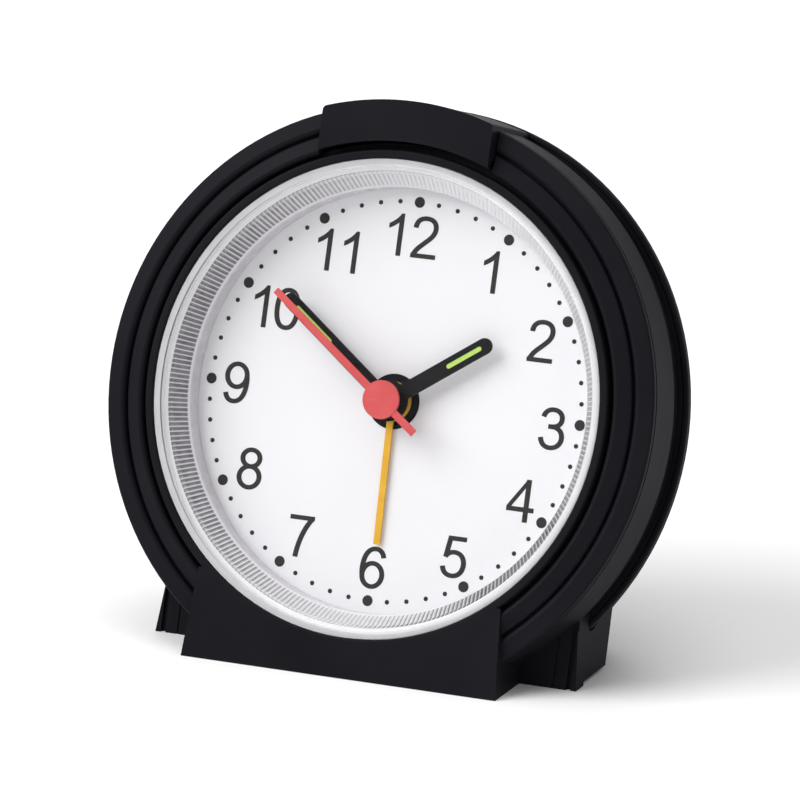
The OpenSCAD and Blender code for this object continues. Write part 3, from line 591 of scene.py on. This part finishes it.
def printed_dial():
    """Matt white print with a fine tooth."""
    look = Look("dial_white", Specular_IOR_Level=0.2)
    slow = look.noise(30, 3)
    tooth = look.noise(4200, 3)
    look.colour(look.between(slow, (0.83, 0.825, 0.835), (0.87, 0.865, 0.87)))
    look.rough(look.span(tooth, 0.5, 0.68))
    look.bump(tooth, 0.003)
    return look


def print_ink():
    """Black screen-print ink, a little speckled."""
    look = Look("print_ink", Specular_IOR_Level=0.12)
    speckle = look.noise(3800, 4)
    spots = look.span(speckle, 0, 1, 0.25, 0.75)
    look.colour(look.mix(spots, rgb(0.022, 0.020, 0.019), rgb(0.046, 0.042, 0.040)))
    look.rough(look.span(speckle, 0.45, 0.62))
    look.bump(speckle, 0.004)
    return look


def lens_look():
    """Clear acrylic in the middle, frosted white where its skirt starts."""
    look = Look("lens_clear", IOR=1.49)
    swirl = look.noise(300, 3)
    look.colour(look.between(swirl, (0.84, 0.84, 0.86), (0.93, 0.93, 0.94)))
    look.rough(look.span(swirl, 0.03, 0.08))
    scatter = look.node("ShaderNodeBsdfTranslucent", Color=rgb(0.95, 0.95, 0.96))
    frost = look.blend(0.5, look.shader, scatter)

    clear = look.node("ShaderNodeBsdfTransparent", Color=rgb(0.985, 0.985, 0.99))
    gloss = look.node("ShaderNodeBsdfGlossy", Roughness=0.02)
    grazing = look.math("MULTIPLY", look.math("POWER", look.facing(), 5.0), EDGE_SHINE)
    pane = look.blend(look.math("ADD", grazing, SHINE), clear, gloss)

    rim = look.step(look.radius(), FROST_R)
    whole = look.blend(look.math("MULTIPLY", rim, FROSTING), pane, frost)
    look.feed(look.tree.nodes["Material Output"].inputs["Surface"], whole.outputs[0])
    return look


def winding_look():
    """Turns of fine enamelled wire, side by side along the coil."""
    look = Look("copper_wire", Metallic=0.85, Coat_Weight=0.4, Coat_Roughness=0.2)
    turns = look.bands(2600.0, 0.6, "Z")
    look.colour(look.mix(turns, rgb(0.28, 0.09, 0.035), rgb(0.78, 0.32, 0.14)))
    look.rough(look.span(look.noise(800), 0.25, 0.42))
    look.bump(turns, 0.05)
    return look


def board_look():
    """Green solder mask over copper tracks."""
    look = Look("board_green", Coat_Weight=0.35, Coat_Roughness=0.25)
    tracks = look.node(
        "ShaderNodeTexBrick",
        Vector=look.place(),
        Scale=420.0,
        Color1=rgb(0.006, 0.10, 0.028),
        Color2=rgb(0.01, 0.14, 0.04),
        Mortar=rgb(0.04, 0.24, 0.09),
        Mortar_Size=0.05,
    )
    look.colour(tracks.outputs["Color"])
    look.rough(look.span(look.noise(900), 0.3, 0.5))
    look.bump(tracks.outputs["Fac"], 0.03)
    return look


def cell_look():
    """Plain shrink-wrapped cell: a dark body and a copper-coloured collar at its plus end."""
    look = Look("cell_wrap", Metallic=0.35, Coat_Weight=0.5, Coat_Roughness=0.12)
    low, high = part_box("battery_cell")
    x = look.node("ShaderNodeSeparateXYZ", Vector=look.place()).outputs["X"]
    collar_x = [low.x + share * (high.x - low.x) for share in COLLAR_SHARE]
    cap_x = [high.x - depth * MM for depth in CELL_CAP]
    wrap = look.noise(260, 3)
    body = look.between(wrap, (0.012, 0.013, 0.016), (0.03, 0.03, 0.034))
    copper = look.between(wrap, (0.42, 0.19, 0.07), (0.62, 0.32, 0.14))
    wrapped = look.mix(look.span(x, 0, 1, *collar_x), body, copper)
    look.colour(look.mix(look.span(x, 0, 1, *cap_x), wrapped, rgb(0.7, 0.7, 0.68)))
    look.rough(look.span(wrap, 0.22, 0.34))
    look.bump(wrap, 0.01)
    return look


def ribbed_look():
    """Clear plastic with painted light: grey grooves are painted shade seen through them, and white
    where they are seen edge on is painted reflection.
    """
    look = Look("ribbed_grey", IOR=1.49, Specular_IOR_Level=0.4)
    haze = look.noise(700, 4)
    facing = look.facing()
    # Painted reflection: the grooves turn white as they are seen more edge on
    painted_reflection = look.span(facing, 0, 1, *PAINTED_REFLECTION_FACING)
    # Painted reflection: dark dashes on the grooves, and darker ridges, low on the right where the ring
    # is seen edge on
    low_right = look.step(look.along(PAINTED_DASHES_TOWARDS), PAINTED_DASHES_FROM)
    dashes = look.math("MULTIPLY", look.span(facing, 0, 1, *PAINTED_DASHES_FACING), low_right)

    # Painted shade: grey grooves for the dark seen through the clear plastic
    painted_grooves = look.between(haze, (0.165, 0.16, 0.175), (0.28, 0.27, 0.29))
    painted_grooves = look.mix(painted_reflection, painted_grooves, rgb(0.82, 0.815, 0.825))
    painted_grooves = look.mix(dashes, painted_grooves, rgb(0.02, 0.02, 0.024))
    # Painted highlight: the ridges are lighter than the grey grooves, as thin light lines
    ridges = look.mix(dashes, rgb(0.74, 0.735, 0.75), rgb(0.42, 0.42, 0.43))
    angle = look.math("ARCTAN2", look.along(ACROSS), look.along(face_up))
    ribs_passed = look.math("MULTIPLY", angle, RIBS / (2 * math.pi))
    from_ridge = look.math("PINGPONG", ribs_passed, 0.5)
    ribs = look.mix(look.span(from_ridge, 0, 1, *RIDGE_EDGE), ridges, painted_grooves)

    # Painted shade: the inner wall is lilac grey for the shade at the dial's edge
    wall = look.between(haze, (0.58, 0.565, 0.60), (0.68, 0.665, 0.70))
    flange = look.between(haze, (0.90, 0.90, 0.90), (0.94, 0.94, 0.94))
    r = look.radius()
    inner = look.mix(look.step(r, LEDGE_R), wall, rgb(0.80, 0.79, 0.81))
    body = look.mix(look.step(r, RIBS_R), inner, ribs)
    look.colour(look.mix(look.step(r, FLANGE_R), body, flange))
    look.rough(look.span(haze, 0.16, 0.28))
    look.bump(look.noise(3000, 2), 0.004)
    return look


def lamp_look():
    """Clear, slightly hazy epoxy."""
    look = Look("lamp_clear", IOR=1.5, Transmission_Weight=0.85)
    haze = look.noise(900, 3)
    look.colour(look.between(haze, (0.9, 0.9, 0.8), (0.98, 0.98, 0.94)))
    look.rough(look.span(haze, 0.05, 0.15))
    return look


def lume_look():
    """Grainy yellow-green glow paint."""
    look = Look("lume", Specular_IOR_Level=0.2)
    grains = look.noise(5200, 3)
    look.colour(look.between(grains, (0.40, 0.62, 0.10), (0.60, 0.80, 0.20)))
    look.rough(look.span(grains, 0.6, 0.85))
    look.bump(grains, 0.02)
    return look


def laminated():
    """Stamped sheets of core steel, seen as fine lines across the stack."""
    look = Look("core_steel", Metallic=1.0)
    sheets = look.bands(700.0, 0.1, "Y")
    look.colour(look.between(look.noise(600, 4), (0.30, 0.30, 0.32), (0.46, 0.45, 0.46)))
    look.rough(look.span(sheets, 0.35, 0.55, 0, 1))
    look.bump(sheets, 0.02)
    return look


def make_looks():
    """One finished material for each slot of the record. Colours and gloss are (low, high)."""
    looks = [
        moulded(
            "case_black", (0.0076, 0.0076, 0.0102), (0.0112, 0.0112, 0.0144), (0.36, 0.48),
            Specular_IOR_Level=0.035,
        ),
        moulded(
            "control_black", (0.0074, 0.0074, 0.0104), (0.0108, 0.0108, 0.0146), (0.34, 0.46),
            grain=2000, depth=0.006, Specular_IOR_Level=0.05,
        ),
        moulded("gear_white", (0.66, 0.65, 0.61), (0.76, 0.75, 0.71), (0.38, 0.52), grain=1500),
        moulded("plate_grey", (0.24, 0.24, 0.25), (0.31, 0.31, 0.32), (0.45, 0.6), grain=1300),
        moulded("chip_black", (0.012, 0.012, 0.012), (0.02, 0.02, 0.02), (0.5, 0.65), grain=4500),
        moulded("buzzer_black", (0.014, 0.014, 0.015), (0.024, 0.024, 0.025), (0.35, 0.5)),
        painted(
            "hand_black", (0.005, 0.005, 0.006), (0.009, 0.009, 0.010), (0.4, 0.55),
            Specular_IOR_Level=0.14,
        ),
        painted(
            "hand_red", (0.60, 0.078, 0.078), (0.68, 0.10, 0.10), (0.45, 0.6),
            Specular_IOR_Level=0.2,
        ),
        painted(
            "hand_yellow", (0.72, 0.38, 0.026), (0.80, 0.45, 0.045), (0.45, 0.6),
            Specular_IOR_Level=0.2,
        ),
        metal("brass", (0.50, 0.33, 0.11), (0.72, 0.52, 0.22), (0.24, 0.42), (1, 0.25, 1)),
        metal("steel", (0.42, 0.42, 0.43), (0.60, 0.60, 0.60), (0.22, 0.42), (1, 0.2, 1)),
        metal("magnet", (0.10, 0.10, 0.105), (0.17, 0.17, 0.175), (0.4, 0.6)),
        printed_dial(),
        ribbed_look(),
        lens_look(),
        lamp_look(),
        lume_look(),
        laminated(),
        winding_look(),
        board_look(),
        cell_look(),
    ]
    return {look.name: look for look in looks}


def paint(piece, look):
    """Gives a piece one material, in every slot that its mesh has."""
    if not piece.data.materials:
        piece.data.materials.append(None)
    for i in range(len(piece.material_slots)):
        piece.material_slots[i].link = "OBJECT"
        piece.material_slots[i].material = look.material


# ---------------------------------------------------------------- stage, light, camera

FLOOR_HALF = 2.6
AMBIENT = 0.5
# Each soft light's place, width in metres and power in watts
LIGHTS = {
    "key": ((-1.15, -0.95, 1.3), 1.6, 33),
    "top": ((0.15, 0.1, 1.6), 1.2, 7),
    "back": ((-0.7, 1.5, 1.1), 1.2, 9),
}
LIGHT_AIM = Vector((0, 0, 0.04))
# The photo's view: degrees to the right of the front, above it, and of tilt
AZIMUTH, ELEVATION, ROLL = 23.25, 14.84, 1.06
DISTANCE = 1.0853
# The middle of the picture, to the right of and above the middle of the dial in millimetres
AIM_OFFSET = (0.97, 0.23)
FOCAL_LENGTH = 316.4
SENSOR_WIDTH = 36
CLIP_START = 0.05


def make_stage():
    """A plain pale floor."""
    mesh = bpy.data.meshes.new("floor")
    corners = [(x * FLOOR_HALF, y * FLOOR_HALF, 0) for x, y in ((-1, -1), (1, -1), (1, 1), (-1, 1))]
    mesh.from_pydata(corners, [], [(0, 1, 2, 3)])
    floor = bpy.data.objects.new("floor", mesh)
    bpy.context.scene.collection.objects.link(floor)
    look = Look("floor_pale", Roughness=0.9, Specular_IOR_Level=0.1)
    look.colour(look.mix(look.noise(3, 2), rgb(0.90, 0.90, 0.90), rgb(0.92, 0.92, 0.92)))
    mesh.materials.append(look.material)


def add_light(name, at, size, power):
    light = bpy.data.lights.new(name, "AREA")
    light.shape = "DISK"
    light.size = size
    light.energy = power
    lamp = bpy.data.objects.new(name, light)
    lamp.location = at
    lamp.rotation_euler = (LIGHT_AIM - Vector(at)).to_track_quat("-Z", "Y").to_euler()
    bpy.context.scene.collection.objects.link(lamp)


def make_light():
    """An even pale sky and three soft lamps."""
    world = bpy.data.worlds.new("studio")
    world.use_nodes = True
    background = world.node_tree.nodes["Background"]
    background.inputs["Color"].default_value = rgb(1, 1, 1)
    background.inputs["Strength"].default_value = AMBIENT
    bpy.context.scene.world = world
    for name, (at, size, power) in LIGHTS.items():
        add_light(name, at, size, power)
    bpy.context.scene.view_settings.view_transform = "Standard"


def make_camera():
    """A camera that sees the clock as the photo does."""
    azimuth, elevation, roll = (math.radians(angle) for angle in (AZIMUTH, ELEVATION, ROLL))
    away = Vector((math.sin(azimuth), -math.cos(azimuth), 0))
    level = Vector((math.cos(azimuth), math.sin(azimuth), 0))
    back = away * math.cos(elevation) + Vector((0, 0, math.sin(elevation)))
    right = level * math.cos(roll) + back.cross(level) * math.sin(roll)
    up = back.cross(right)
    aim = dial_centre + (right * AIM_OFFSET[0] + up * AIM_OFFSET[1]) * MM
    at = aim + back * DISTANCE
    camera = bpy.data.objects.new("camera", bpy.data.cameras.new("camera"))
    camera.data.lens = FOCAL_LENGTH
    camera.data.sensor_width = SENSOR_WIDTH
    camera.data.clip_start = CLIP_START
    camera.matrix_world = Matrix(
        (
            (right.x, up.x, back.x, at.x),
            (right.y, up.y, back.y, at.y),
            (right.z, up.z, back.z, at.z),
            (0, 0, 0, 1),
        )
    )
    bpy.context.scene.collection.objects.link(camera)
    bpy.context.scene.camera = camera


# ---------------------------------------------------------------- putting it together


make_camera()
make_light()
make_stage()
looks = make_looks()

slots = {part["node"]: part["material_slot"] for part in frame["record"]["subparts"]}
for name, piece in frame["nodes"].items():
    paint(piece, looks[slots[name]])

ink = print_ink()
for piece in make_print():
    paint(piece, ink)
paint(make_ribbed_ring(), looks["ribbed_grey"])
